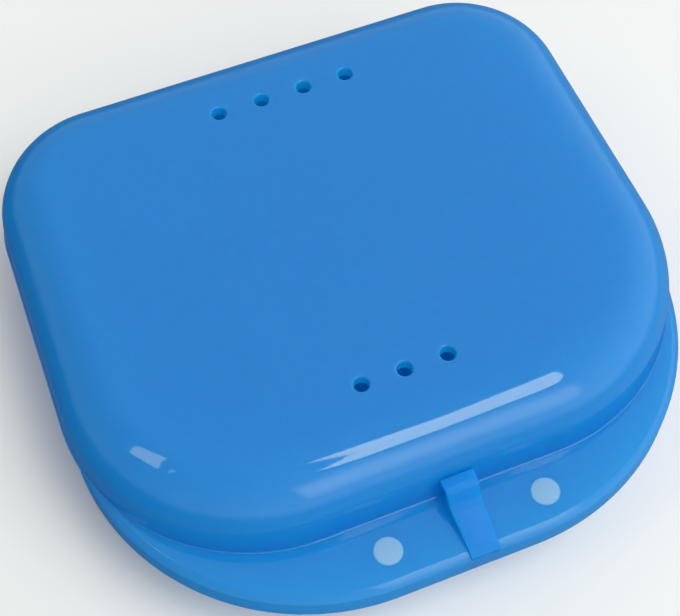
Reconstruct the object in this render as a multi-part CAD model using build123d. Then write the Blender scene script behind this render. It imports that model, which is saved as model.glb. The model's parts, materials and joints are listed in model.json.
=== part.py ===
from build123d import *
from math import radians, tan
import os

# Denture case, closed: a shallow tray with a flange in front, a hinged lid with vent holes, and a
# thin strap that is moulded on to the flange's front edge and snaps over a nub on the lid.
#
# Millimetres. +X is the case's right, +Y its back (the hinge side), +Z up. The origin is on the
# resting face, under the middle of the lid. The case lies shut, and each piece is its own STEP file.

# ---- driving dimensions ------------------------------------------------------------------------

# Lid: a rounded trapezoid, widest at the front, with its sides drafted and its top edge rolled over
LID_DEPTH = 66.1
LID_FRONT_WIDTH = 80.0
LID_BACK_WIDTH = 77.4
LID_FRONT_RADIUS = 24.6
LID_BACK_RADIUS = 14.7
LID_HEIGHT = 10.0
LID_DRAFT = 6.8
LID_TOP_RADIUS = 6.9
LID_WALL = 1.6
LID_TOP_WALL = 1.6
LID_LOWER_EDGE_RADIUS = 0.35

# Tray: the lower half, from the resting face up to the seam that the lid closes on
TRAY_DEPTH = 14.5
TRAY_WALL = 1.6
TRAY_FLOOR = 1.8
TRAY_DRAFT = 5.0
TRAY_FOOT_RADIUS = 5.0

# Rim: the tray's top plate, with a skirt turned down at its edge; it reaches out as a flange in
# front, and lies a little inside the lid's edge at the sides and back
FLANGE_REACH = 8.3
FLANGE_CORNER_RADIUS = 30.3
RIM_SIDE_SETBACK = 0.55
RIM_BACK_SETBACK = 0.3
RIM_HEIGHT = 4.0
RIM_PLATE = 1.8
RIM_SKIRT = 1.6
RIM_EDGE_RADIUS = 1.0

# Locating lip: stands on the tray's wall, inside the lid
LIP_HEIGHT = 1.6
LIP_CLEARANCE = 0.3
LIP_WALL = 1.2
LIP_EDGE_RADIUS = 0.4

# Vent holes in the lid's top: a row of four at the back and a row of three at the front
VENT_DIAMETER = 2.0
VENT_EDGE_RADIUS = 0.25
BACK_VENT_COUNT = 4
BACK_VENT_PITCH = 5.8
BACK_VENT_INSET = 10.6
BACK_VENT_X = 0.8
FRONT_VENT_COUNT = 3
FRONT_VENT_PITCH = 5.45
FRONT_VENT_INSET = 12.65
FRONT_VENT_X = 0.05

# Hinge: two stations behind the case, each a knuckle of the lid between two ears of the tray
HINGE_SPACING = 34.0
HINGE_BACKSET = 2.3
BARREL_DIAMETER = 3.8
KNUCKLE_WIDTH = 5.0
EAR_WIDTH = 2.4
HINGE_SIDE_GAP = 0.2
PIN_DIAMETER = 1.6
PIN_EAR_CLEARANCE = 0.01
PIN_KNUCKLE_CLEARANCE = 0.06
PIN_END_RADIUS = 0.2
KNUCKLE_ARM_HEIGHT = 2.6
EAR_SHOULDER = 0.5

# Latch strap: turns on a thin bead at the flange's top front edge and rests its end on the lid
STRAP_X = 1.8
STRAP_ROOT_WIDTH = 3.6
STRAP_END_WIDTH = 4.1
STRAP_THICKNESS = 0.75
STRAP_FILM = 0.35
STRAP_BEAD_RADIUS = 0.45
STRAP_BEAD_CLEARANCE = 0.1
STRAP_FLANGE_CLEARANCE = 0.1
STRAP_SLOPE_RISE = 1.65
STRAP_RISER_FOOT = 2.55
STRAP_RISER_HEAD = 1.4
STRAP_END_HEIGHT = 4.4
STRAP_END_GAP = 0.1
STRAP_BEND_RADIUS = 0.9
STRAP_TIP_RADIUS = 0.2

# Catch nub on the lid's front wall, under the strap's end
NUB_WIDTH = 3.0
NUB_REACH = 1.0
NUB_GAP = 0.3
NUB_HEIGHT = 1.3
NUB_RAMP = 0.5

# Pale discs let in flush with the flange, one each side of the strap
DISC_DIAMETER = 3.55
DISC_THICKNESS = 0.8
DISC_SPACING = 20.1
DISC_X = 1.4
DISC_INSET = 4.4
DISC_CLEARANCE = 0.04

# ---- places that follow from them --------------------------------------------------------------

SEAM_Z = TRAY_DEPTH
LID_TOP_Z = SEAM_Z + LID_HEIGHT
LID_FRONT_Y = -LID_DEPTH / 2
LID_BACK_Y = LID_DEPTH / 2
FLANGE_FRONT_Y = LID_FRONT_Y - FLANGE_REACH
RIM_BACK_Y = LID_BACK_Y - RIM_BACK_SETBACK
RIM_FRONT_WIDTH = LID_FRONT_WIDTH - 2 * RIM_SIDE_SETBACK
RIM_BACK_WIDTH = LID_BACK_WIDTH - 2 * RIM_BACK_SETBACK
RIM_BACK_RADIUS = LID_BACK_RADIUS - RIM_BACK_SETBACK

CAVITY_INSET = LID_WALL + LIP_CLEARANCE + LIP_WALL
TRAY_INSET = CAVITY_INSET - TRAY_WALL

BARREL_RADIUS = BARREL_DIAMETER / 2
HINGE_Y = LID_BACK_Y + HINGE_BACKSET
HINGE_Z = SEAM_Z - BARREL_RADIUS
STATION_WIDTH = KNUCKLE_WIDTH + 2 * (HINGE_SIDE_GAP + EAR_WIDTH)

STRAP_AXIS_Y = FLANGE_FRONT_Y + STRAP_BEAD_RADIUS
STRAP_AXIS_Z = SEAM_Z - STRAP_BEAD_RADIUS


# ---- shared shapes -----------------------------------------------------------------------------

def rounded_trapezoid(front_width, back_width, front_y, back_y, front_radius, back_radius, inset=0.0):
    """Plan outline, drawn in by inset all round."""
    outline = make_face(
        Polyline(
            (-front_width / 2, front_y),
            (front_width / 2, front_y),
            (back_width / 2, back_y),
            (-back_width / 2, back_y),
            close=True,
        )
    )
    outline = fillet(outline.vertices().group_by(Axis.Y)[0], front_radius)
    outline = fillet(outline.vertices().group_by(Axis.Y)[-1], back_radius)
    if inset:
        outline = offset(outline, amount=-inset)
    return outline


def lid_outline(inset=0.0):
    """The lid's edge at the seam; the tray and the lip are drawn in from it."""
    return rounded_trapezoid(
        LID_FRONT_WIDTH, LID_BACK_WIDTH, LID_FRONT_Y, LID_BACK_Y,
        LID_FRONT_RADIUS, LID_BACK_RADIUS, inset,
    )


def rim_outline(inset=0.0):
    """The tray's top plate, with the flange in front."""
    return rounded_trapezoid(
        RIM_FRONT_WIDTH, RIM_BACK_WIDTH, FLANGE_FRONT_Y, RIM_BACK_Y,
        FLANGE_CORNER_RADIUS, RIM_BACK_RADIUS, inset,
    )


def slab(outline, low_z, high_z):
    """Straight-sided block over an outline."""
    return extrude(Pos(0, 0, low_z) * outline, amount=high_z - low_z)


def rolled_pan(outline, open_z, depth, draft, edge_radius):
    """Block that narrows away from open_z, with its far edge rounded. A negative depth goes down."""
    side = 1 if depth > 0 else -1
    block = extrude(Pos(0, 0, open_z) * outline, amount=abs(depth), dir=(0, 0, side), taper=draft)
    far_face = block.faces().sort_by(Axis.Z)[-1 if depth > 0 else 0]
    return fillet(far_face.edges(), edge_radius)


def rod_along_x(centre_x, y, z, radius, length):
    """Round bar or cutter that runs across the case."""
    return Pos(centre_x, y, z) * Rot(0, 90, 0) * Cylinder(radius, length)


def across_x(profile, centre_x, width):
    """Block made by giving a side profile, drawn in Y and Z, a width across the case."""
    face = Plane.YZ.offset(centre_x - width / 2) * profile
    return extrude(face, amount=width)


def hinge_centres():
    return [-HINGE_SPACING / 2, HINGE_SPACING / 2]


# ---- lid ---------------------------------------------------------------------------------------

def vent_places():
    """Centres of the vent holes, in plan."""
    rows = [
        (BACK_VENT_COUNT, BACK_VENT_PITCH, BACK_VENT_X, LID_BACK_Y - BACK_VENT_INSET),
        (FRONT_VENT_COUNT, FRONT_VENT_PITCH, FRONT_VENT_X, LID_FRONT_Y + FRONT_VENT_INSET),
    ]
    places = []
    for count, pitch, centre_x, y in rows:
        for number in range(count):
            places.append((centre_x + (number - (count - 1) / 2) * pitch, y))
    return places


def lid_wall_y(z):
    """Where the drafted outside of the lid's front wall is at a height."""
    return LID_FRONT_Y + (z - SEAM_Z) * tan(radians(LID_DRAFT))


def catch_nub():
    """Small wedge that the strap's end snaps over; flat on top, ramped below."""
    top = SEAM_Z + STRAP_END_HEIGHT - STRAP_THICKNESS - NUB_GAP
    foot = top - NUB_HEIGHT
    root_y = lid_wall_y(top) + LID_WALL / 2
    profile = make_face(
        Polyline(
            (root_y, foot - NUB_RAMP),
            (lid_wall_y(foot), foot - NUB_RAMP),
            (lid_wall_y(foot) - NUB_REACH, foot + NUB_RAMP),
            (lid_wall_y(top) - NUB_REACH, top),
            (root_y, top),
            close=True,
        )
    )
    return across_x(profile, STRAP_X, NUB_WIDTH)


def lid_knuckle(centre_x):
    """Barrel behind the lid, with the arm that runs off it to the lid's back wall."""
    arm_top_z = SEAM_Z + KNUCKLE_ARM_HEIGHT
    arm_root = Line((LID_BACK_Y, SEAM_Z), (LID_BACK_Y, arm_top_z))
    barrel = Pos(HINGE_Y, HINGE_Z) * Circle(BARREL_RADIUS)
    arm = make_hull(arm_root.edges() + barrel.edges())
    root_align = (Align.MAX, Align.MIN)
    arm += Pos(LID_BACK_Y, SEAM_Z) * Rectangle(LID_WALL / 2, KNUCKLE_ARM_HEIGHT, align=root_align)
    return across_x(arm, centre_x, KNUCKLE_WIDTH)


def lid_shell():
    outside = rolled_pan(lid_outline(), SEAM_Z, LID_HEIGHT, LID_DRAFT, LID_TOP_RADIUS)
    lower_edge = outside.faces().sort_by(Axis.Z)[0].edges()
    outside = fillet(lower_edge, LID_LOWER_EDGE_RADIUS)
    inside = rolled_pan(
        lid_outline(LID_WALL), SEAM_Z, LID_HEIGHT - LID_TOP_WALL, LID_DRAFT, LID_TOP_RADIUS - LID_WALL
    )
    lid = outside - inside
    for x, y in vent_places():
        lid -= Pos(x, y, LID_TOP_Z) * Cylinder(VENT_DIAMETER / 2, 4 * LID_TOP_WALL)
    mouths = lid.edges().filter_by(GeomType.CIRCLE).group_by(Axis.Z)[-1]
    lid = fillet(mouths, VENT_EDGE_RADIUS)
    lid += catch_nub()
    for centre_x in hinge_centres():
        lid += lid_knuckle(centre_x)
        bore = PIN_DIAMETER / 2 + PIN_KNUCKLE_CLEARANCE
        lid -= rod_along_x(centre_x, HINGE_Y, HINGE_Z, bore, STATION_WIDTH)
    return lid


# ---- tray --------------------------------------------------------------------------------------

def rim_plate():
    """Top plate with its skirt, hollow underneath."""
    plate = slab(rim_outline(), SEAM_Z - RIM_HEIGHT, SEAM_Z)
    top_edge = plate.faces().sort_by(Axis.Z)[-1].edges()
    plate = fillet(top_edge, RIM_EDGE_RADIUS)
    return plate - slab(rim_outline(RIM_SKIRT), SEAM_Z - RIM_HEIGHT, SEAM_Z - RIM_PLATE)


def locating_lip():
    block = slab(lid_outline(LID_WALL + LIP_CLEARANCE), SEAM_Z - RIM_PLATE, SEAM_Z + LIP_HEIGHT)
    top_edge = block.faces().sort_by(Axis.Z)[-1].edges()
    return fillet(top_edge, LIP_EDGE_RADIUS)


def tray_ears(centre_x):
    """The two ears of one hinge station, joined to the rim behind the case."""
    reach = make_face(
        Polyline(
            (RIM_BACK_Y - RIM_SKIRT, HINGE_Z - BARREL_RADIUS),
            (HINGE_Y, HINGE_Z - BARREL_RADIUS),
            (HINGE_Y, HINGE_Z + BARREL_RADIUS - EAR_SHOULDER),
            (RIM_BACK_Y - RIM_SKIRT, HINGE_Z + BARREL_RADIUS - EAR_SHOULDER),
            close=True,
        )
    )
    block = across_x(reach, centre_x, STATION_WIDTH)
    block += rod_along_x(centre_x, HINGE_Y, HINGE_Z, BARREL_RADIUS, STATION_WIDTH)
    slot_width = KNUCKLE_WIDTH + 2 * HINGE_SIDE_GAP
    slot_depth = 2 * (BARREL_DIAMETER + HINGE_BACKSET)
    slot = Pos(centre_x, RIM_BACK_Y + slot_depth / 2, HINGE_Z)
    return block - slot * Box(slot_width, slot_depth, 2 * BARREL_DIAMETER)


def disc_places():
    """Centres of the two discs, in plan."""
    y = FLANGE_FRONT_Y + DISC_INSET
    return [(DISC_X - DISC_SPACING / 2, y), (DISC_X + DISC_SPACING / 2, y)]


def base_tray():
    body = rolled_pan(lid_outline(TRAY_INSET), SEAM_Z, -TRAY_DEPTH, TRAY_DRAFT, TRAY_FOOT_RADIUS)
    body += rim_plate()
    body += locating_lip()
    for centre_x in hinge_centres():
        body += tray_ears(centre_x)
    cavity_depth = TRAY_DEPTH - TRAY_FLOOR
    body -= rolled_pan(
        lid_outline(CAVITY_INSET), SEAM_Z, -cavity_depth, TRAY_DRAFT, TRAY_FOOT_RADIUS - TRAY_WALL
    )
    body -= slab(lid_outline(CAVITY_INSET), SEAM_Z, SEAM_Z + 2 * LIP_HEIGHT)
    for centre_x in hinge_centres():
        bore = PIN_DIAMETER / 2 + PIN_EAR_CLEARANCE
        body -= rod_along_x(centre_x, HINGE_Y, HINGE_Z, bore, STATION_WIDTH)
    for x, y in disc_places():
        pocket = Cylinder(DISC_DIAMETER / 2 + DISC_CLEARANCE, 2 * DISC_THICKNESS)
        body -= Pos(x, y, SEAM_Z) * pocket
    return body - strap_notch()


def strap_notch():
    """Cut in the rim's top front edge that the strap's bead turns in."""
    room = STRAP_BEAD_RADIUS + STRAP_BEAD_CLEARANCE
    width = STRAP_ROOT_WIDTH + 2 * STRAP_BEAD_CLEARANCE
    return Pos(STRAP_X, STRAP_AXIS_Y, STRAP_AXIS_Z) * Box(width, 2 * room, 2 * room)


# ---- strap, pins and discs ---------------------------------------------------------------------

def latch_strap():
    """S-shaped strap, closed: over the flange, up its riser and level on to the lid's front wall."""
    inner_edge_y = STRAP_AXIS_Y + STRAP_BEAD_RADIUS + STRAP_BEAD_CLEARANCE
    foot_y = LID_FRONT_Y - STRAP_RISER_FOOT
    head_y = LID_FRONT_Y - STRAP_RISER_HEAD
    under_z = SEAM_Z + STRAP_FLANGE_CLEARANCE
    foot_z = under_z + STRAP_FILM + STRAP_SLOPE_RISE
    head_z = SEAM_Z + STRAP_END_HEIGHT
    end_z = head_z - STRAP_THICKNESS
    end_y = lid_wall_y(head_z) - STRAP_END_GAP
    under_end_y = lid_wall_y(end_z) - STRAP_END_GAP
    top_side = Polyline(
        (STRAP_AXIS_Y - STRAP_BEAD_RADIUS, STRAP_AXIS_Z),
        (STRAP_AXIS_Y, under_z + STRAP_FILM),
        (foot_y, foot_z),
        (head_y, head_z),
        (end_y, head_z),
    )
    # The underside is set in from the riser by the strap's thickness
    lean = Vector(head_y - foot_y, head_z - foot_z, 0).normalized()
    along = STRAP_THICKNESS * (1 - lean.X) / lean.Y
    under_side = Polyline(
        (end_y, head_z),
        (under_end_y, end_z),
        (head_y + along, end_z),
        (foot_y + along, foot_z - STRAP_THICKNESS),
        (inner_edge_y, under_z),
        (STRAP_AXIS_Y + STRAP_BEAD_RADIUS, STRAP_AXIS_Z),
        (STRAP_AXIS_Y - STRAP_BEAD_RADIUS, STRAP_AXIS_Z),
    )
    profile = make_face(Wire(top_side.edges() + under_side.edges()))
    bends = [
        (foot_y, foot_z, STRAP_BEND_RADIUS + STRAP_THICKNESS),
        (head_y, head_z, STRAP_BEND_RADIUS),
        (head_y + along, end_z, STRAP_TIP_RADIUS),
        (foot_y + along, foot_z - STRAP_THICKNESS, STRAP_BEND_RADIUS),
        (end_y, head_z, STRAP_TIP_RADIUS),
        (under_end_y, end_z, STRAP_TIP_RADIUS),
    ]
    for y, z, radius in bends:
        corner = profile.vertices().sort_by_distance(Vector(y, z, 0))[0]
        profile = fillet(corner, radius)
    strap = across_x(profile, STRAP_X, STRAP_END_WIDTH)
    strap += rod_along_x(STRAP_X, STRAP_AXIS_Y, STRAP_AXIS_Z, STRAP_BEAD_RADIUS, STRAP_END_WIDTH)
    return strap & strap_plan()


def strap_plan():
    """Plan of the strap, which widens a little from its root to its end."""
    root_y = STRAP_AXIS_Y - 2 * STRAP_BEAD_RADIUS
    plan = make_face(
        Polyline(
            (STRAP_X - STRAP_ROOT_WIDTH / 2, root_y),
            (STRAP_X + STRAP_ROOT_WIDTH / 2, root_y),
            (STRAP_X + STRAP_END_WIDTH / 2, LID_FRONT_Y),
            (STRAP_X + STRAP_END_WIDTH / 2, 0),
            (STRAP_X - STRAP_END_WIDTH / 2, 0),
            (STRAP_X - STRAP_END_WIDTH / 2, LID_FRONT_Y),
            close=True,
        )
    )
    return slab(plan, 0, LID_TOP_Z)


def hinge_pin(centre_x):
    pin = rod_along_x(centre_x, HINGE_Y, HINGE_Z, PIN_DIAMETER / 2, STATION_WIDTH)
    return fillet(pin.edges().filter_by(GeomType.CIRCLE), PIN_END_RADIUS)


def flange_disc(x, y):
    disc = Cylinder(DISC_DIAMETER / 2, DISC_THICKNESS, align=(Align.CENTER, Align.CENTER, Align.MAX))
    return Pos(x, y, SEAM_Z) * disc


# ---- assembly ----------------------------------------------------------------------------------

def sub_parts():
    left_pin_x, right_pin_x = hinge_centres()
    left_disc, right_disc = disc_places()
    return {
        "base_tray": base_tray(),
        "lid_shell": lid_shell(),
        "latch_strap": latch_strap(),
        "hinge_pin_left": hinge_pin(left_pin_x),
        "hinge_pin_right": hinge_pin(right_pin_x),
        "flange_disc_left": flange_disc(*left_disc),
        "flange_disc_right": flange_disc(*right_disc),
    }


os.makedirs("parts", exist_ok=True)
for name, shape in sub_parts().items():
    export_step(shape, os.path.join("parts", name + ".step"))
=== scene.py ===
import json
from collections import namedtuple
from math import copysign, cos, pi, radians, sin, tan

import bmesh
import bpy
from bpy.props import FloatProperty, FloatVectorProperty, IntProperty, PointerProperty, StringProperty
from bpy.types import Operator, Panel, PropertyGroup
from mathutils import Matrix, Vector


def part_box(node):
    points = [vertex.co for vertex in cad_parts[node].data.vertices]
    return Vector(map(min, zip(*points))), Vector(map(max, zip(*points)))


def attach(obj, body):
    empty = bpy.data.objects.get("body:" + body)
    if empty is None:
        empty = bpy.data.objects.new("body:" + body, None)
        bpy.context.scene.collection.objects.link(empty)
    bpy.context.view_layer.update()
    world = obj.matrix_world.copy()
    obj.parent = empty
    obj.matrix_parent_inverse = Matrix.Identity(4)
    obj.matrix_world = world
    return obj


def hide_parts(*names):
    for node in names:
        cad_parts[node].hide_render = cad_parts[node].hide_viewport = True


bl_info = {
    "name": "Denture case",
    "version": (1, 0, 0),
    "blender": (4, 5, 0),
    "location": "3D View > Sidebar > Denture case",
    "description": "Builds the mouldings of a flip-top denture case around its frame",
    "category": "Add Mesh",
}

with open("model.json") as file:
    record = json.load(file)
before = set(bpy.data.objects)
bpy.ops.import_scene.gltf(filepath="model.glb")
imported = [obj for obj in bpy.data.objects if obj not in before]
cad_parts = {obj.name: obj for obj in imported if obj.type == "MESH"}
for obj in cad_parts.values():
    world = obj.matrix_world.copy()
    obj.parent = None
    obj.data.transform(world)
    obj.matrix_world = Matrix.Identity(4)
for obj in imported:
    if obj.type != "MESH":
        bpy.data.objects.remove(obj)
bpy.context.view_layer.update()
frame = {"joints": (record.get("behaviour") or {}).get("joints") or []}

# ---- the frame's own places, in metres -----------------------------------------------------------

MM = 0.001


def joint_place(name):
    """Where a joint's axis lies at rest."""
    return Vector(next(joint["pos_m"] for joint in frame["joints"] if joint["name"] == name))


def middle(node):
    """Middle of a node's box at rest."""
    low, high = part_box(node)
    return (low + high) / 2


HINGE_AXIS = joint_place("lid_hinge")
STRAP_AXIS = joint_place("strap_flex")
PIN_NODES = ("hinge_pin_left", "hinge_pin_right")
DISC_NODES = ("flange_disc_left", "flange_disc_right")
SEAM_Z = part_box("flange_disc_left")[1].z
LID_TOP_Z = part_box("lid_shell")[1].z
FLANGE_FRONT_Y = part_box("base_tray")[0].y
STATION_CENTRES = [middle(node).x for node in PIN_NODES]
STATION_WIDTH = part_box("hinge_pin_left")[1].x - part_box("hinge_pin_left")[0].x

# How finely the round stretches are divided
CORNER_SEGMENTS = 40
STRAIGHT_CUTS = 6
ROLL_SEGMENTS = 24
FILLET_SEGMENTS = 8
ROUND_SEGMENTS = 64

# Width of the flat band beside each round edge, which keeps the shading of the flat true
SHOULDER = 0.3 * MM
# Edges that turn more than this are shaded sharp
SHARP_ANGLE = radians(32)
# Vertices closer than this are one
WELD = 0.001 * MM


def millimetres(value, description):
    """A length that a user may change, given in millimetres and held in metres."""
    return FloatProperty(description=description, default=value * MM, unit="LENGTH", precision=5)


def metres(value, description):
    """A long length that a user may change."""
    return FloatProperty(description=description, default=value, unit="LENGTH")


def number(value, description):
    """A plain number that a user may change."""
    return FloatProperty(description=description, default=value)


def degrees(value, description):
    """An angle that a user may change."""
    return FloatProperty(description=description, default=radians(value), subtype="ANGLE")


def vector(value, description, subtype="NONE"):
    """A few numbers that a user may change together."""
    return FloatVectorProperty(description=description, default=value, size=len(value), subtype=subtype)


def hex_colour(value, description):
    """A colour that a user may change, as an sRGB hex value."""
    return StringProperty(description=description, default=value, maxlen=7)


# ---- settings ------------------------------------------------------------------------------------

class LidSettings(PropertyGroup):
    """Sizes of the lid"""
    depth: millimetres(66.1, "Front to back at the seam")
    front_width: millimetres(80.0, "Width at the front, before the corners are rounded")
    back_width: millimetres(77.4, "Width at the back, before the corners are rounded")
    front_radius: millimetres(24.6, "Radius of the two front corners in plan")
    back_radius: millimetres(14.7, "Radius of the two back corners in plan")
    draft: degrees(6.8, "Lean of the side walls")
    roll_radius: millimetres(6.9, "Radius of the roll from the wall to the top")
    wall: millimetres(1.6, "Thickness of the wall and the top")
    outer_draft: degrees(6.2, "Lean of the wall's outside above the flare")
    lower_edge_radius: millimetres(0.08, "Rounding of the edge on the seam")
    flare_radius: millimetres(1.2, "Radius of the flare's upper side round the lid's foot")
    flare_low: degrees(42, "Tilt of the flare at its foot")
    flare_high: degrees(52, "Tilt of the flare where it ends at the wall")
    flare_corner_radius: millimetres(0.05, "Rounding of the flare's outer corner")
    vent_diameter: millimetres(1.9, "Bore of a vent hole")
    vent_edge_radius: millimetres(0.25, "Rounding of a vent hole's mouth")
    back_vent_count: IntProperty(description="Vent holes in the back row", default=4)
    back_vent_pitch: millimetres(5.8, "Spacing of the back row")
    back_vent_inset: millimetres(10.6, "From the lid's back edge to the back row")
    back_vent_x: millimetres(0.8, "How far the back row sits to the right")
    front_vent_count: IntProperty(description="Vent holes in the front row", default=3)
    front_vent_pitch: millimetres(5.45, "Spacing of the front row")
    front_vent_inset: millimetres(12.65, "From the lid's front edge to the front row")
    front_vent_x: millimetres(0.05, "How far the front row sits to the right")
    nub_width: millimetres(3.0, "Width of the catch nub on the front wall")
    nub_reach: millimetres(1.0, "How far the nub stands out from the wall")
    nub_height: millimetres(1.3, "Height of the nub's face")
    nub_ramp: millimetres(0.5, "Rise of the ramp under the nub")
    nub_drop: millimetres(0.3, "Gap from the nub's top to the strap's end")
    nub_edge_radius: millimetres(0.15, "Rounding of the nub's front edges")


class TraySettings(PropertyGroup):
    """Sizes of the tray"""
    wall: millimetres(1.6, "Thickness of the side wall")
    floor: millimetres(1.8, "Thickness of the floor")
    draft: degrees(5.0, "Lean of the side walls")
    foot_radius: millimetres(5.0, "Rounding from the wall to the resting face")
    flange_corner_radius: millimetres(30.3, "Radius of the flange's two corners")
    side_setback: millimetres(0.55, "How far the rim lies inside the lid's sides")
    back_setback: millimetres(0.3, "How far the rim lies inside the lid's back")
    rim_height: millimetres(4.0, "From the skirt's lower edge to the seam")
    rim_plate: millimetres(1.8, "Thickness of the top plate")
    rim_skirt: millimetres(1.6, "Thickness of the turned-down skirt")
    rim_edge_radius: millimetres(3.8, "Radius of the rim's broken top edge")
    rim_edge_low: degrees(38, "Tilt of the broken edge over the side")
    rim_edge_high: degrees(56, "Tilt of the broken edge beside the flat")
    rim_corner_radius: millimetres(0.15, "Rounding of the broken edge's two corners")
    lip_height: millimetres(1.6, "How far the locating lip stands into the lid")
    lip_clearance: millimetres(0.3, "Gap between the lip and the lid's wall")
    lip_wall: millimetres(1.2, "Thickness of the lip")
    lip_edge_radius: millimetres(0.4, "Rounding of the lip's outer top edge")


class HingeSettings(PropertyGroup):
    """Sizes of the two hinge stations"""
    barrel_diameter: millimetres(3.8, "Outside of the knuckles and ears")
    knuckle_width: millimetres(5.0, "Width of the lid's knuckle")
    ear_width: millimetres(2.4, "Width of each ear of the tray")
    arm_height: millimetres(2.6, "How far up the lid's back wall the knuckle's arm reaches")
    ear_shoulder: millimetres(0.5, "Step from the barrel's top down to the ear's web")
    edge_radius: millimetres(0.2, "Rounding of the barrels' ends")
    bore_clearance: millimetres(0.06, "Gap between a pin and its bore")
    pin_edge_radius: millimetres(0.2, "Rounding of a pin's ends")


class StrapSettings(PropertyGroup):
    """Sizes of the latch strap and of the discs beside it"""
    root_width: millimetres(3.6, "Width where the strap turns")
    end_width: millimetres(4.1, "Width at the lid")
    thickness: millimetres(0.75, "Thickness of the strap")
    film: millimetres(0.35, "Thickness where the strap bends")
    bead_radius: millimetres(0.45, "Radius of the bead that the strap turns on")
    clearance: millimetres(0.1, "Gap to the flange, the notch and the lid")
    slope_rise: millimetres(1.65, "How far the strap rises along the flange")
    riser_foot: millimetres(2.55, "From the lid's front edge to the foot of the riser")
    riser_head: millimetres(1.4, "From the lid's front edge to the head of the riser")
    end_height: millimetres(4.4, "Height of the strap's end above the seam")
    foot_radius: millimetres(1.1, "Radius under the bend at the riser's foot")
    head_radius: millimetres(1.1, "Radius over the bend at the riser's head")
    end_shift: millimetres(0.25, "How far the end sits left of the root")
    tip_radius: millimetres(0.2, "Rounding of the tip")
    edge_radius: millimetres(0.14, "Rounding of the long edges")
    disc_edge_radius: millimetres(0.02, "Rounding of the flange discs' edges")
    disc_clearance: millimetres(0.01, "Gap between a flange disc and its pocket")


class FinishSettings(PropertyGroup):
    """Colours and gloss of the mouldings"""
    case_colour: hex_colour("#28A2EE", "What the blue polypropylene scatters back")
    case_deep_colour: hex_colour("#249FEB", "The same where the melt met")
    through_colour: hex_colour("#30E2FF", "What the blue polypropylene lets through")
    # Partly the discs' own pale blue, partly painted sheen: it holds some of the lamps' light off their satin
    # face
    disc_colour_and_sheen: hex_colour("#82B0DB", "Pale blue of the flange discs")
    disc_blend: millimetres(0.3, "How far the blue runs into the discs round their edge")
    gloss_roughness: number(0.04, "Roughness of the polished mould")
    strap_roughness: number(0.3, "Roughness of the strap")
    satin_roughness: number(0.35, "Roughness of the discs")
    gloss_spread: number(0.2, "Unevenness of the gloss")
    satin_spread: number(0.15, "Unevenness of the satin")
    flow_cloud: millimetres(25, "Size of the clouds that the melt's flow leaves")
    handling_patch: millimetres(4, "Size of the patches that handling leaves in the gloss")
    satin_grain: millimetres(0.5, "Grain of the discs, coarser than real so that it shows")
    let_through: number(0.5, "Share of light let through")
    specular_level: number(1.0, "Strength of the gloss")
    strap_level: number(0.25, "The same on the strap")
    light_depth: millimetres(0.5, "How deep blue light goes before it scatters")
    # Polypropylene has about 1.49; a little more gives its polished face the right gloss
    refraction: number(1.56, "Index of refraction")


class StageSettings(PropertyGroup):
    """Floor, lights and camera"""
    floor_colour: hex_colour("#ECEDF1", "Plain pale floor as it is seen")
    floor_bounce_colour: hex_colour("#CDCDCD", "Colour that the floor throws back")
    floor_size: metres(6.0, "Side of the floor")
    room_dark: number(0.42, "Light from the left")
    room_bright: number(1.12, "Light from the right")
    room_below: number(0.34, "Share of that light from below")
    room_above: number(0.63, "Share of it from overhead")
    backdrop: number(0.95, "Brightness beyond the floor")
    room_light_side: vector((0.95, -0.3, 0.0), "Direction of the bright side")
    softbox_colour: hex_colour("#FAFFDA", "Warm white of the lamps that the gloss mirrors")
    overhead_strength: number(5.3, "For the long streak")
    left_strength: number(2.9, "For the small glint")
    bulb_strength: number(1.5, "For the spot beside it")
    front_strength: number(1.5, "For the soft band")
    front_azimuth: degrees(17, "How far right of the front the front softbox stands")
    front_elevation: degrees(34, "How high the front softbox stands")
    front_half_size: vector((0.56, 0.85), "Half of the front softbox's width and height")
    front_plateau: vector((0.7, 0.1), "Share of each half that glows fully")
    key_size: metres(1.4, "Width of the key lamp")
    key_power: number(16.0, "Power of the key lamp in watts")
    key_azimuth: degrees(40, "How far right of the front the key lamp stands")
    key_elevation: degrees(62, "How high the key lamp stands")
    lamp_height: metres(2.0, "Height of lamps")
    focal_length: number(79.39, "Camera lens in mm")
    camera_place: vector(
        (-35.31 * MM, -92.51 * MM, 179.43 * MM), "Where the camera stands", "TRANSLATION"
    )
    camera_aim: vector(
        (0.0, -3.954 * MM, 14.5 * MM), "The point that the camera looks at", "TRANSLATION"
    )
    camera_shift: vector((-0.0179, -0.01515), "Framing, as a share of the picture's width")


# ---- shared shapes -------------------------------------------------------------------------------

Plan = namedtuple("Plan", "front_width back_width front_y back_y front_radius back_radius")


def lid_plan():
    """The lid's outline on the seam; the tray and its lip are drawn in from it."""
    lid = bpy.context.scene.denture_lid
    return Plan(
        lid.front_width, lid.back_width, -lid.depth / 2, lid.depth / 2, lid.front_radius, lid.back_radius
    )


def rim_plan():
    """The outline of the tray's rim, with the flange in front."""
    lid = bpy.context.scene.denture_lid
    tray = bpy.context.scene.denture_tray
    return Plan(
        lid.front_width - 2 * tray.side_setback,
        lid.back_width - 2 * tray.back_setback,
        FLANGE_FRONT_Y,
        lid.depth / 2 - tray.back_setback,
        tray.flange_corner_radius,
        lid.back_radius - tray.back_setback,
    )


def round_corner(bm, corner, radius, segments):
    """Rounds one corner of a flat outline."""
    sides = [edge.other_vert(corner).co - corner.co for edge in corner.link_edges]
    reach = radius / tan(sides[0].angle(sides[1]) / 2)
    bmesh.ops.bevel(
        bm, geom=[corner], offset=reach, offset_type="OFFSET", segments=segments,
        profile=0.5, affect="VERTICES", material=-1,
    )


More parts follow.
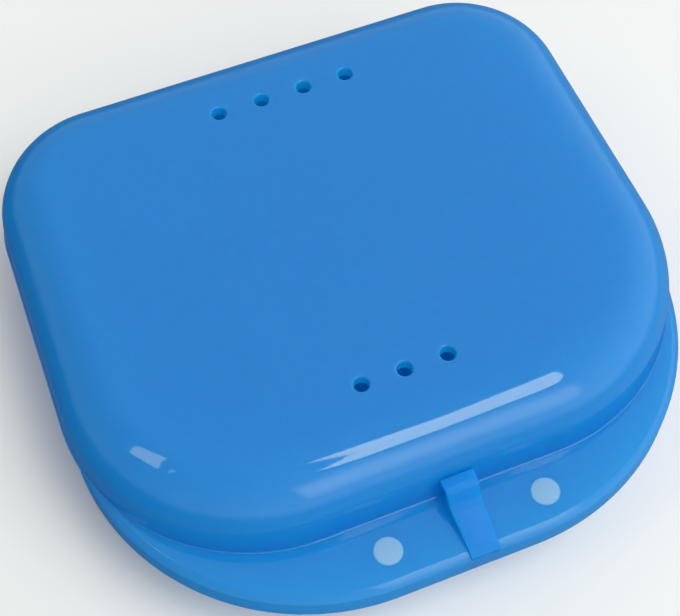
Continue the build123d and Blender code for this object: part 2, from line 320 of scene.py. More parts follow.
def plan_face(bm, plan, z, inset=0.0):
    """Flat face over a plan, drawn in by inset all round and looking up."""
    front, back = plan.front_width / 2, plan.back_width / 2
    places = [(-front, plan.front_y), (front, plan.front_y), (back, plan.back_y), (-back, plan.back_y)]
    corners = [bm.verts.new((x, y, z)) for x, y in places]
    radii = [plan.front_radius, plan.front_radius, plan.back_radius, plan.back_radius]
    bm.faces.new(corners)
    for corner, radius in zip(corners, radii):
        round_corner(bm, corner, radius, CORNER_SEGMENTS)
    straights = sorted(bm.edges, key=lambda edge: edge.calc_length())[-4:]
    bmesh.ops.bisect_edges(bm, edges=straights, cuts=STRAIGHT_CUTS)
    bm.faces.ensure_lookup_table()
    face = bm.faces[0]
    face.normal_update()
    if inset:
        follow(bm, face, [(inset, 0.0)])
        margin = [other for other in bm.faces if other is not face]
        bmesh.ops.delete(bm, geom=margin, context="FACES")
    return face


def facing_down(bm, face):
    """A second face on the same outline that looks down."""
    copy = bmesh.ops.duplicate(bm, geom=[face, *face.edges, *face.verts])
    twin = next(part for part in copy["geom"] if isinstance(part, bmesh.types.BMFace))
    bmesh.ops.reverse_faces(bm, faces=[twin])
    twin.normal_update()
    return twin


def follow(bm, face, steps):
    """Draws a level face inward and up or down, step by step, which leaves a wall behind it."""
    side = copysign(1, face.normal.z)
    for inward, rise in steps:
        bmesh.ops.inset_region(
            bm, faces=[face], thickness=inward, depth=side * rise, use_boundary=True, use_even_offset=True
        )


def arc(radius, start, end, segments):
    """Steps round an arc, between two angles of its surface above the horizontal."""
    angles = [start + (end - start) * number / segments for number in range(segments + 1)]
    pairs = zip(angles, angles[1:])
    return [(radius * (cos(a) - cos(b)), radius * (sin(b) - sin(a))) for a, b in pairs]


def broken(radius, low, high, corner_radius):
    """Steps over an edge that is broken between two tilts, with a small corner over the side."""
    return arc(corner_radius, 0, low, 3) + arc(radius, low, high, FILLET_SEGMENTS)


def leaning_wall(rise, draft):
    """Steps up or down a wall that leans inward, with a short one at each end."""
    short = copysign(SHOULDER, rise)
    return [(abs(step) * tan(draft), step) for step in (short, rise - 2 * short, short)]


def close_up(bm):
    """Welds the halves of a solid and turns its faces outward."""
    bmesh.ops.remove_doubles(bm, verts=bm.verts, dist=WELD)
    bmesh.ops.recalc_face_normals(bm, faces=bm.faces)


def solid(name, bm):
    """Turns a finished bmesh into an object at the origin."""
    mesh = bpy.data.meshes.new(name)
    bm.to_mesh(mesh)
    bm.free()
    piece = bpy.data.objects.new(name, mesh)
    bpy.context.scene.collection.objects.link(piece)
    return piece


def take_in(bm, part):
    """Moves the whole of another bmesh into this one."""
    mesh = bpy.data.meshes.new("part")
    part.to_mesh(mesh)
    part.free()
    bm.from_mesh(mesh)
    bpy.data.meshes.remove(mesh)


def combine(piece, other, operation):
    """Joins another solid to a piece, or cuts it away. The other solid is used up."""
    boolean = piece.modifiers.new("Combine", "BOOLEAN")
    boolean.operation = operation
    boolean.solver = "EXACT"
    boolean.object = other
    depsgraph = bpy.context.evaluated_depsgraph_get()
    mesh = bpy.data.meshes.new_from_object(piece.evaluated_get(depsgraph))
    piece.modifiers.clear()
    piece.data = mesh
    bpy.data.objects.remove(other)


def side_profile(bm, places, radii, x):
    """Flat face across the case's side, from places in Y and Z, with rounded corners."""
    corners = [bm.verts.new((x, y, z)) for y, z in places]
    bm.faces.new(corners)
    for corner, radius in zip(corners, radii):
        if radius:
            round_corner(bm, corner, radius, FILLET_SEGMENTS)
    bm.faces.ensure_lookup_table()
    return bm.faces[0]


def give_width(bm, face, width):
    """Extrudes a side profile across the case, half of the width each way."""
    bmesh.ops.translate(bm, verts=face.verts, vec=(-width / 2, 0, 0))
    far = bmesh.ops.extrude_face_region(bm, geom=[face])
    far_verts = [part for part in far["geom"] if isinstance(part, bmesh.types.BMVert)]
    bmesh.ops.translate(bm, verts=far_verts, vec=(width, 0, 0))
    bmesh.ops.recalc_face_normals(bm, faces=bm.faces)


def add_cylinder(bm, place, radius, depth, edge_radius=0.0):
    """Cylinder along the Z axis of its place, with the edges of its ends rounded."""
    cylinder = bmesh.ops.create_cone(
        bm, cap_ends=True, segments=ROUND_SEGMENTS, radius1=radius, radius2=radius, depth=depth, matrix=place
    )
    if edge_radius:
        ends = {face for vert in cylinder["verts"] for face in vert.link_faces if len(face.verts) > 4}
        round_faces(bm, ends, edge_radius)


def add_rod(bm, centre, radius, width, edge_radius=0.0):
    """Round bar across the case."""
    across = Matrix.Rotation(pi / 2, 4, "Y")
    add_cylinder(bm, Matrix.Translation(centre) @ across, radius, width, edge_radius)


def round_faces(bm, faces, radius):
    """Rounds the edges all round some faces of a solid."""
    round_edges(bm, {edge for face in faces for edge in face.edges}, radius)


def round_edges(bm, edges, radius):
    """Rounds edges of a solid."""
    bmesh.ops.bevel(
        bm, geom=list(edges), offset=radius, segments=4, profile=0.5, affect="EDGES",
        clamp_overlap=True, material=-1,
    )


def finish_piece(piece, material, body, slot, *nodes):
    """Shades a piece, gives it its material and seats it on the frame."""
    bm = bmesh.new()
    bm.from_mesh(piece.data)
    close_up(bm)
    for face in bm.faces:
        face.smooth = True
    for edge in bm.edges:
        edge.smooth = edge.is_manifold and edge.calc_face_angle() < SHARP_ANGLE
    bm.to_mesh(piece.data)
    bm.free()
    piece.data.materials.clear()
    piece.data.materials.append(material)
    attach(piece, body)
    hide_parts(*nodes)


# ---- materials -----------------------------------------------------------------------------------

# A Mix node keeps a set of sockets for each kind of data: these are its two colours, the colour that
# it gives, and its two numbers
COLOUR_A, COLOUR_B, COLOUR_OUT = 6, 7, 2
NUMBER_A, NUMBER_B, NUMBER_OUT = 2, 3, 0


def to_linear(hex_value):
    """Linear colour of an sRGB hex value."""
    channels = [int(hex_value[place:place + 2], 16) / 255 for place in (1, 3, 5)]
    linear = [c / 12.92 if c <= 0.04045 else ((c + 0.055) / 1.055) ** 2.4 for c in channels]
    return (*linear, 1.0)


def add_node(tree, kind, inputs=(), **settings):
    """Adds a node with its settings. Each of its inputs takes a value or another node's output."""
    node = tree.nodes.new("ShaderNode" + kind)
    for name, value in settings.items():
        setattr(node, name, value)
    for socket, value in dict(inputs).items():
        if isinstance(value, bpy.types.NodeSocket):
            tree.links.new(value, node.inputs[socket])
        else:
            node.inputs[socket].default_value = value
    return node


def mix_colours(tree, first, second, share):
    """Runs from one sRGB hex colour to another."""
    colours = {COLOUR_A: to_linear(first), COLOUR_B: to_linear(second), "Factor": share}
    return add_node(tree, "Mix", colours, data_type="RGBA").outputs[COLOUR_OUT]


def multiply(tree, first, second):
    """Multiplies an output by a number or by another output."""
    return add_node(tree, "Math", {0: first, 1: second}, operation="MULTIPLY").outputs["Value"]


def uneven(tree, pattern, roughness, spread):
    """Spreads a roughness over a pattern."""
    ends = {"To Min": roughness * (1 - spread), "To Max": roughness * (1 + spread)}
    return add_node(tree, "MapRange", {"Value": pattern, **ends}).outputs["Result"]


def new_material(name):
    """An empty material and its tree."""
    material = bpy.data.materials.new(name)
    material.use_nodes = True
    material.node_tree.nodes.clear()
    return material, material.node_tree


def blue_polypropylene(name, roughness, specular_level):
    """Blue polypropylene, injection moulded.

    It gives a colour that is deep rather than chalky, because light enters the wall a little way and
    comes through it into the dark inside, and faint flow clouds some centimetres long.
    """
    known = bpy.data.materials.get(name)
    if known:
        return known
    finish = bpy.context.scene.denture_finish
    material, tree = new_material(name)
    place = add_node(tree, "TexCoord").outputs["Object"]
    cloud = {"Scale": 1 / finish.flow_cloud, "Detail": 2.0, "Roughness": 0.4, "Vector": place}
    flow = add_node(tree, "TexNoise", cloud).outputs["Fac"]
    # Handling: the gloss is a little uneven over a few millimetres
    patch = {"Scale": 1 / finish.handling_patch, "Detail": 3.0, "Roughness": 0.6, "Vector": place}
    handling = add_node(tree, "TexNoise", patch).outputs["Fac"]
    shader = add_node(tree, "BsdfPrincipled", {
        "Base Color": mix_colours(tree, finish.case_colour, finish.case_deep_colour, flow),
        "Roughness": uneven(tree, handling, roughness, finish.gloss_spread),
        "IOR": finish.refraction,
        "Specular IOR Level": specular_level,
        "Subsurface Weight": 1.0,
        "Subsurface Radius": (0.3, 0.6, 1.0),
        "Subsurface Scale": finish.light_depth,
    })
    through = add_node(tree, "BsdfTranslucent", {"Color": to_linear(finish.through_colour)})
    shares = {"Fac": finish.let_through, 1: shader.outputs["BSDF"], 2: through.outputs["BSDF"]}
    both = add_node(tree, "MixShader", shares)
    add_node(tree, "OutputMaterial", {"Surface": both.outputs["Shader"]})
    return material


def polished_blue():
    """The blue from a polished mould face, with a high gloss: lid, tray and pins."""
    finish = bpy.context.scene.denture_finish
    return blue_polypropylene("polished_polypropylene_blue", finish.gloss_roughness, finish.specular_level)


def flexed_blue():
    """The blue on the thin strap, which is duller because the mould is not polished there."""
    finish = bpy.context.scene.denture_finish
    return blue_polypropylene("flexed_polypropylene_blue", finish.strap_roughness, finish.strap_level)


def disc_material(name, centre, radius):
    """Pale polypropylene with a satin face, which scatters more light and shows softer glints. Its pale
    colour is partly the discs' own and partly painted sheen of the lamps on that face.

    It runs into the blue round its edge, where the two melts met.
    """
    finish = bpy.context.scene.denture_finish
    material, tree = new_material(name)
    place = add_node(tree, "TexCoord").outputs["Object"]
    from_middle = add_node(tree, "VectorMath", {0: place, 1: centre}, operation="DISTANCE")
    blend = add_node(
        tree, "MapRange", {
            "Value": from_middle.outputs["Value"],
            "From Min": radius - finish.disc_blend,
            "From Max": radius + finish.disc_blend / 3,
        }, interpolation_type="SMOOTHSTEP",
    ).outputs["Result"]
    noise = {"Scale": 1 / finish.satin_grain, "Detail": 2.0, "Vector": place}
    grain = add_node(tree, "TexNoise", noise).outputs["Fac"]
    shader = add_node(tree, "BsdfPrincipled", {
        # Painted sheen: the pale disc colour carries part of the lamps' light off the satin face
        "Base Color": mix_colours(tree, finish.disc_colour_and_sheen, finish.case_colour, blend),
        "Roughness": uneven(tree, grain, finish.satin_roughness, finish.satin_spread),
        "IOR": finish.refraction,
    })
    add_node(tree, "OutputMaterial", {"Surface": shader.outputs["BSDF"]})
    return material


class CaseOperator:
    """What the operators share: each builds its pieces in the scene."""
    bl_options = {"REGISTER", "UNDO"}

    def execute(self, context):
        self.build(context.scene)
        return {"FINISHED"}


# ---- lid -----------------------------------------------------------------------------------------

def vent_places(lid):
    """Centres of the vent holes, in plan."""
    rows = [
        (lid.back_vent_count, lid.back_vent_pitch, lid.back_vent_x, lid.depth / 2 - lid.back_vent_inset),
        (lid.front_vent_count, lid.front_vent_pitch, lid.front_vent_x, -lid.depth / 2 + lid.front_vent_inset),
    ]
    places = []
    for count, pitch, centre_x, y in rows:
        for number in range(count):
            places.append((centre_x + (number - (count - 1) / 2) * pitch, y))
    return places


def add_vent(bm, lid, x, y):
    """The rounded mouth and the bore of one vent hole, spun about its axis."""
    bore = lid.vent_diameter / 2
    steps = [(SHOULDER, 0.0)]
    steps += [(-inward, rise) for inward, rise in arc(lid.vent_edge_radius, pi / 2, 0, FILLET_SEGMENTS)]
    steps += [(0.0, -(lid.wall - lid.vent_edge_radius))]
    radius, z = bore + lid.vent_edge_radius + SHOULDER, LID_TOP_Z
    section = [bm.verts.new((x + radius, y, z))]
    for inward, rise in steps:
        radius, z = radius - inward, z + rise
        section.append(bm.verts.new((x + radius, y, z)))
    edges = [bm.edges.new(pair) for pair in zip(section, section[1:])]
    bmesh.ops.spin(
        bm, geom=section + edges, cent=(x, y, z), axis=(0, 0, 1), angle=2 * pi,
        steps=ROUND_SEGMENTS, use_merge=True,
    )


def fill_level(bm, z):
    """Fills the flat between all the open edges at one height."""
    tolerance = 0.01 * MM
    rims = [
        edge for edge in bm.edges
        if edge.is_boundary and all(abs(vert.co.z - z) < tolerance for vert in edge.verts)
    ]
    bmesh.ops.triangle_fill(bm, edges=rims, use_beauty=True, normal=(0, 0, 1))


def lid_shell_solid(lid):
    """The lid's shell: drafted wall, rolled edge, flat top, with its vent holes."""
    draft, outer_draft = lid.draft, lid.outer_draft
    height = LID_TOP_Z - SEAM_Z
    edge = lid.lower_edge_radius
    edge_inset = edge * (1 / cos(draft) + tan(draft))
    outer_roll = lid.roll_radius
    inner_roll = lid.roll_radius - lid.wall
    flare = broken(lid.flare_radius, lid.flare_low, lid.flare_high, lid.flare_corner_radius)
    flare_height = edge + sum(rise for inward, rise in flare)
    outer_rise = height - outer_roll * (1 - sin(outer_draft)) - flare_height
    inner_rise = height - lid.wall - inner_roll * (1 - sin(draft))
    bm = bmesh.new()
    top = plan_face(bm, lid_plan(), SEAM_Z + edge, edge_inset - edge)
    under = facing_down(bm, top)
    outside = flare + leaning_wall(outer_rise, outer_draft)
    outside += arc(outer_roll, outer_draft, pi / 2, ROLL_SEGMENTS) + [(SHOULDER, 0.0)]
    inside = arc(edge, 0, -pi / 2, FILLET_SEGMENTS) + [(lid.wall - edge_inset, 0.0)]
    inside += leaning_wall(inner_rise, draft)
    inside += arc(inner_roll, draft, pi / 2, ROLL_SEGMENTS) + [(SHOULDER, 0.0)]
    follow(bm, top, outside)
    follow(bm, under, inside)
    bmesh.ops.delete(bm, geom=[top, under], context="FACES_ONLY")
    for x, y in vent_places(lid):
        add_vent(bm, lid, x, y)
    bmesh.ops.remove_doubles(bm, verts=bm.verts, dist=WELD)
    for z in (LID_TOP_Z, LID_TOP_Z - lid.wall):
        fill_level(bm, z)
    close_up(bm)
    return solid("lid_moulding", bm)


def front_wall_y(lid, z):
    """Where the outside of the lid's front wall is at a height."""
    return -lid.depth / 2 + (z - SEAM_Z) * tan(lid.draft)


def nub_solid(lid, strap):
    """Small wedge that the strap's end snaps over; flat on top, ramped below."""
    top = SEAM_Z + strap.end_height - strap.thickness - lid.nub_drop
    foot = top - lid.nub_height
    root_y = front_wall_y(lid, top) + lid.wall / 2
    places = [
        (root_y, foot - lid.nub_ramp),
        (front_wall_y(lid, foot), foot - lid.nub_ramp),
        (front_wall_y(lid, foot) - lid.nub_reach, foot + lid.nub_ramp),
        (front_wall_y(lid, top) - lid.nub_reach, top),
        (root_y, top),
    ]
    bm = bmesh.new()
    give_width(bm, side_profile(bm, places, [0, 0, 0, 0, 0], STRAP_AXIS.x), lid.nub_width)
    clear_y = front_wall_y(lid, foot) - lid.nub_reach / 10
    front = [edge for edge in bm.edges if all(vert.co.y < clear_y for vert in edge.verts)]
    round_edges(bm, front, lid.nub_edge_radius)
    return solid("nub", bm)


def knuckle_solid(lid, hinge):
    """The lid's two barrels, each with the arm that runs off it to the back wall."""
    back_y = lid.depth / 2
    bm = bmesh.new()
    for x in STATION_CENTRES:
        centre = Vector((x, HINGE_AXIS.y, HINGE_AXIS.z))
        station = bmesh.new()
        add_rod(station, centre, hinge.barrel_diameter / 2, hinge.knuckle_width)
        for side in (-1, 1):
            for z in (SEAM_Z, SEAM_Z + hinge.arm_height):
                station.verts.new((x + side * hinge.knuckle_width / 2, back_y, z))
        hull = bmesh.ops.convex_hull(station, input=station.verts)
        leftover = set(hull["geom_interior"] + hull["geom_unused"])
        bmesh.ops.delete(station, geom=list(leftover), context="VERTS")
        bmesh.ops.dissolve_limit(station, angle_limit=radians(1), verts=station.verts, edges=station.edges)
        root = min(station.faces, key=lambda face: face.calc_center_median().y)
        deeper = bmesh.ops.extrude_face_region(station, geom=[root])
        moved = [part for part in deeper["geom"] if isinstance(part, bmesh.types.BMVert)]
        bmesh.ops.translate(station, verts=moved, vec=(0, -lid.wall / 2, 0))
        bmesh.ops.delete(station, geom=[root], context="FACES_ONLY")
        take_in(bm, station)
    close_up(bm)
    return solid("knuckles", bm)


def bore_solid(hinge):
    """Round bars that cut the pins' bores."""
    bm = bmesh.new()
    low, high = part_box(PIN_NODES[0])
    bore = (high.z - low.z) / 2 + hinge.bore_clearance
    for x in STATION_CENTRES:
        add_rod(bm, Vector((x, HINGE_AXIS.y, HINGE_AXIS.z)), bore, 2 * STATION_WIDTH)
    return solid("bores", bm)


class DENTURE_OT_lid(CaseOperator, Operator):
    """Add the lid with its vent holes, catch nub and knuckles"""
    bl_idname = "mesh.denture_case_lid"
    bl_label = "Lid"

    def build(self, scene):
        lid = scene.denture_lid
        piece = lid_shell_solid(lid)
        combine(piece, nub_solid(lid, scene.denture_strap), "UNION")
        combine(piece, knuckle_solid(lid, scene.denture_hinge), "UNION")
        combine(piece, bore_solid(scene.denture_hinge), "DIFFERENCE")
        finish_piece(piece, polished_blue(), "lid", "case_plastic", "lid_shell")


# ---- tray ----------------------------------------------------------------------------------------

def pan_solid(tray, lid):
    """The tray's pan with the locating lip that stands on its wall."""
    draft = tray.draft
    lip_inset = lid.wall + tray.lip_clearance
    cavity_inset = lip_inset + tray.lip_wall
    start_drop = tray.rim_plate / 2
    start_z = SEAM_Z - start_drop
    start_inset = cavity_inset - tray.wall + start_drop * tan(draft)
    cavity_depth = SEAM_Z - tray.floor
    inner_foot = tray.foot_radius - tray.wall
    outside = leaning_wall(-(start_z - tray.foot_radius * (1 - sin(draft))), draft)
    outside += arc(tray.foot_radius, -draft, -pi / 2, ROLL_SEGMENTS) + [(SHOULDER, 0.0)]
    inside = [(lip_inset - start_inset, 0.0), (0.0, start_drop + tray.lip_height - tray.lip_edge_radius)]
    inside += arc(tray.lip_edge_radius, 0, pi / 2, FILLET_SEGMENTS)
    inside += [(tray.lip_wall - tray.lip_edge_radius, 0.0), (0.0, -tray.lip_height)]
    inside += leaning_wall(-(cavity_depth - inner_foot * (1 - sin(draft))), draft)
    inside += arc(inner_foot, -draft, -pi / 2, ROLL_SEGMENTS) + [(SHOULDER, 0.0)]
    bm = bmesh.new()
    upper = plan_face(bm, lid_plan(), start_z, start_inset)
    lower = facing_down(bm, upper)
    follow(bm, upper, inside)
    follow(bm, lower, outside)
    close_up(bm)
    return solid("pan", bm)


def rim_solid(tray):
    """The rim: a top plate with a broken edge and a skirt turned down round it."""
    broken_edge = broken(tray.rim_edge_radius, tray.rim_edge_low, tray.rim_edge_high, tray.rim_corner_radius)
    broken_edge += arc(tray.rim_corner_radius, tray.rim_edge_high, pi / 2, 3)
    edge_rise = sum(rise for inward, rise in broken_edge)
    bm = bmesh.new()
    upper = plan_face(bm, rim_plan(), SEAM_Z - edge_rise)
    lower = facing_down(bm, upper)
    follow(bm, upper, broken_edge + [(SHOULDER, 0.0)])
    drop = tray.rim_height - edge_rise
    follow(bm, lower, [(0.0, -drop), (tray.rim_skirt, 0.0), (0.0, tray.rim_height - tray.rim_plate)])
    close_up(bm)
    return solid("tray_moulding", bm)


def opening_solid(tray, lid):
    """Block that opens the rim over the pan; its side lies inside the pan's wall."""
    inset = lid.wall + tray.lip_clearance + tray.lip_wall / 2
    bm = bmesh.new()
    upper = plan_face(bm, lid_plan(), SEAM_Z + tray.rim_height, inset)
    lower = facing_down(bm, upper)
    follow(bm, lower, [(0.0, -2 * tray.rim_height)])
    close_up(bm)
    return solid("opening", bm)


def ear_positions(hinge):
    """Middles of the four ears across the case."""
    reach = (STATION_WIDTH - hinge.ear_width) / 2
    return [x + side * reach for x in STATION_CENTRES for side in (-1, 1)]


def ear_web_solid(tray, lid, hinge):
    """The webs that carry the ears' barrels off the rim."""
    root_y = lid.depth / 2 - tray.back_setback - tray.rim_skirt
    low_z = HINGE_AXIS.z - hinge.barrel_diameter / 2
    high_z = HINGE_AXIS.z + hinge.barrel_diameter / 2 - hinge.ear_shoulder
    places = [(root_y, low_z), (HINGE_AXIS.y, low_z), (HINGE_AXIS.y, high_z), (root_y, high_z)]
    bm = bmesh.new()
    for x in ear_positions(hinge):
        web = bmesh.new()
        give_width(web, side_profile(web, places, [0, 0, 0, 0], x), hinge.ear_width)
        take_in(bm, web)
    return solid("webs", bm)


def ear_barrel_solid(hinge):
    """The round ends of the four ears."""
    bm = bmesh.new()
    for x in ear_positions(hinge):
        centre = Vector((x, HINGE_AXIS.y, HINGE_AXIS.z))
        add_rod(bm, centre, hinge.barrel_diameter / 2, hinge.ear_width, hinge.edge_radius)
    return solid("barrels", bm)


def pocket_solid(strap):
    """Cutters for the two disc pockets and for the notch that the strap's bead turns in."""
    bm = bmesh.new()
    for node in DISC_NODES:
        low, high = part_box(node)
        centre = middle(node)
        radius = (high.x - low.x) / 2 + strap.disc_clearance
        place = Matrix.Translation((centre.x, centre.y, high.z))
        add_cylinder(bm, place, radius, 2 * (high.z - low.z))
    room = strap.bead_radius + strap.clearance
    size = Vector((strap.root_width / 2 + strap.clearance, room, room))
    notch = Matrix.Translation(STRAP_AXIS) @ Matrix.Diagonal((*(2 * size), 1))
    bmesh.ops.create_cube(bm, size=1, matrix=notch)
    return solid("pockets", bm)


class DENTURE_OT_tray(CaseOperator, Operator):
    """Add the tray with its flange, locating lip and hinge ears"""
    bl_idname = "mesh.denture_case_tray"
    bl_label = "Tray"

    def build(self, scene):
        tray, lid, hinge = scene.denture_tray, scene.denture_lid, scene.denture_hinge
        piece = rim_solid(tray)
        combine(piece, opening_solid(tray, lid), "DIFFERENCE")
        combine(piece, pan_solid(tray, lid), "UNION")
        combine(piece, ear_web_solid(tray, lid, hinge), "UNION")
        combine(piece, ear_barrel_solid(hinge), "UNION")
        combine(piece, pocket_solid(scene.denture_strap), "DIFFERENCE")
        combine(piece, bore_solid(hinge), "DIFFERENCE")
        finish_piece(piece, polished_blue(), "tray", "case_plastic", "base_tray")


# ---- strap, pins and discs -----------------------------------------------------------------------

def widen_strap(bm, strap, lid):
    """Gives the strap its width, which grows evenly from its root to the lid, and its slight lean."""
    for vert in bm.verts:
        share = (vert.co.y - STRAP_AXIS.y) / (-lid.depth / 2 - STRAP_AXIS.y)
        share = min(max(share, 0), 1)
        side = copysign(1, vert.co.x - STRAP_AXIS.x)
        width = strap.root_width + (strap.end_width - strap.root_width) * share
        vert.co.x = STRAP_AXIS.x + side * width / 2 - strap.end_shift * share


class DENTURE_OT_strap(CaseOperator, Operator):
    """Add the latch strap: over the flange, up its riser and level on to the lid"""
    bl_idname = "mesh.denture_case_strap"
    bl_label = "Latch strap"

    def build(self, scene):
        strap, lid = scene.denture_strap, scene.denture_lid
        bead = strap.bead_radius
        axis_y, axis_z = STRAP_AXIS.y, STRAP_AXIS.z
        under_z = SEAM_Z + strap.clearance
        foot_y = -lid.depth / 2 - strap.riser_foot
        foot_z = under_z + strap.film + strap.slope_rise
        head_y = -lid.depth / 2 - strap.riser_head
        head_z = SEAM_Z + strap.end_height
        end_z = head_z - strap.thickness
        lean = Vector((head_y - foot_y, head_z - foot_z)).normalized()
        along = strap.thickness * (1 - lean.x) / lean.y
        places_and_radii = [
            ((axis_y - bead, axis_z - bead), bead),
            ((axis_y + bead, axis_z - bead), bead),
            ((axis_y + bead, under_z), 0),
            ((foot_y + along, foot_z - strap.thickness), strap.foot_radius),
            ((head_y + along, end_z), strap.tip_radius),
            ((front_wall_y(lid, end_z) - strap.clearance, end_z), strap.tip_radius),
            ((front_wall_y(lid, head_z) - strap.clearance, head_z), strap.tip_radius),
            ((head_y, head_z), strap.head_radius),
            ((foot_y, foot_z), strap.foot_radius + strap.thickness),
            ((axis_y + bead, under_z + strap.film), 2 * bead),
            ((axis_y - bead, axis_z + bead / 2), 0),
        ]
        places, radii = zip(*places_and_radii)
        bm = bmesh.new()
        give_width(bm, side_profile(bm, places, radii, STRAP_AXIS.x), strap.end_width)
        widen_strap(bm, strap, lid)
        sides = [face for face in bm.faces if abs(face.normal.x) > 0.9]
        round_faces(bm, sides, strap.edge_radius)
        piece = solid("strap_moulding", bm)
        finish_piece(piece, flexed_blue(), "strap", "case_plastic", "latch_strap")


class DENTURE_OT_pins(CaseOperator, Operator):
    """Add the two hinge pins"""
    bl_idname = "mesh.denture_case_pins"
    bl_label = "Hinge pins"

    def build(self, scene):
        for node in PIN_NODES:
            low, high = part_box(node)
            bm = bmesh.new()
            edge_radius = scene.denture_hinge.pin_edge_radius
            add_rod(bm, middle(node), (high.z - low.z) / 2, high.x - low.x, edge_radius)
            name = node.replace("hinge_pin", "pin_moulding")
            finish_piece(solid(name, bm), polished_blue(), "tray", "pin_plastic", node)


class DENTURE_OT_discs(CaseOperator, Operator):
    """Add the two pale discs let in flush with the flange, their paleness partly painted sheen"""
    bl_idname = "mesh.denture_case_discs"
    bl_label = "Flange discs"

    def build(self, scene):
        for node in DISC_NODES:
            low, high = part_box(node)
            radius = (high.x - low.x) / 2
            face_centre = (middle(node).x, middle(node).y, high.z)
            bm = bmesh.new()
            edge_radius = scene.denture_strap.disc_edge_radius
            add_cylinder(bm, Matrix.Translation(middle(node)), radius, high.z - low.z, edge_radius)
            finish_name = node.replace("flange_disc", "satin_polypropylene_pale")
            material = disc_material(finish_name, face_centre, radius)
            name = node.replace("flange_disc", "disc_moulding")
            finish_piece(solid(name, bm), material, "tray", "disc_plastic", node)


# ---- stage ---------------------------------------------------------------------------------------

WHITE = (1, 1, 1, 1)
# Where the room's light changes, as cosines to the bright side and as heights of a ray of length 1
SIDE_REACH = 0.8
FLOOR_HEIGHT, WALL_HEIGHT, CEILING_HEIGHT = -0.15, 0.1, 0.9


def add_floor(stage):
    """Plain pale floor, which shows the case's shadow and throws a little less light back on it."""
    material, tree = new_material("painted_board_white")
    seen = add_node(tree, "LightPath").outputs["Is Camera Ray"]
    shader = add_node(tree, "BsdfPrincipled", {
        "Base Color": mix_colours(tree, stage.floor_bounce_colour, stage.floor_colour, seen),
        "Roughness": 0.9,
        "Specular IOR Level": 0.0,
    })
    add_node(tree, "OutputMaterial", {"Surface": shader.outputs["BSDF"]})
    bm = bmesh.new()
    bmesh.ops.create_grid(bm, x_segments=1, y_segments=1, size=stage.floor_size / 2)
    floor = solid("floor", bm)
    floor.data.materials.append(material)
    floor.visible_glossy = False


def add_room_light(stage):
    """Soft light from all round, brightest from the front right, dim from below and pale to the eye.

    Its level runs over the cosine of the angle to the bright side, then over the height of the ray.
    """
    world = bpy.data.worlds.new("room")
    world.use_nodes = True
    tree = world.node_tree
    tree.nodes.clear()
    direction = add_node(tree, "TexCoord").outputs["Generated"]
    towards_light = add_node(
        tree, "VectorMath", {0: direction, 1: stage.room_light_side}, operation="DOT_PRODUCT"
    )
    strength = add_node(tree, "MapRange", {
        "Value": towards_light.outputs["Value"],
        "From Min": -SIDE_REACH, "From Max": SIDE_REACH,
        "To Min": stage.room_dark, "To Max": stage.room_bright,
    }).outputs["Result"]
    height = add_node(tree, "SeparateXYZ", {"Vector": direction}).outputs["Z"]
    above_floor = add_node(tree, "MapRange", {
        "Value": height, "From Min": FLOOR_HEIGHT, "From Max": WALL_HEIGHT,
        "To Min": multiply(tree, strength, stage.room_below), "To Max": 1.0,
    })
    below_ceiling = add_node(tree, "MapRange", {
        "Value": height, "From Min": WALL_HEIGHT, "From Max": CEILING_HEIGHT,
        "To Min": 1.0, "To Max": stage.room_above,
    })
    level = strength
    for share in (above_floor, below_ceiling):
        level = multiply(tree, level, share.outputs["Result"])
    seen = add_node(tree, "LightPath").outputs["Is Camera Ray"]
    numbers = {"Factor": seen, NUMBER_A: level, NUMBER_B: stage.backdrop}
    shown = add_node(tree, "Mix", numbers, data_type="FLOAT").outputs[NUMBER_OUT]
    light = add_node(tree, "Background", {"Color": WHITE, "Strength": shown})
    add_node(tree, "OutputWorld", {"Surface": light.outputs["Background"]})
    bpy.context.scene.world = world


def add_lamp_panel(name, outline, height, over, colour, strength):
    """Flat glowing panel. Its outline is slopes, right and back for each unit of height over a point."""
    material, tree = new_material(name)
    glow = add_node(tree, "Emission", {"Color": to_linear(colour), "Strength": strength})
    add_node(tree, "OutputMaterial", {"Surface": glow.outputs["Emission"]})
    bm = bmesh.new()
    verts = [bm.verts.new((over.x + height * x, over.y + height * y, height)) for x, y in outline]
    bm.faces.new(verts)
    panel = solid(name, bm)
    panel.data.materials.append(material)
    panel.visible_camera = False


def place_lamp(lamp, azimuth, elevation, distance):
    """Puts a lamp in a direction from the case and turns it to the case."""
    towards = Vector((
        sin(azimuth) * cos(elevation), -cos(azimuth) * cos(elevation), sin(elevation),
    ))
    lamp.location = distance * towards
    lamp.rotation_euler = towards.to_track_quat("Z", "Y").to_euler()


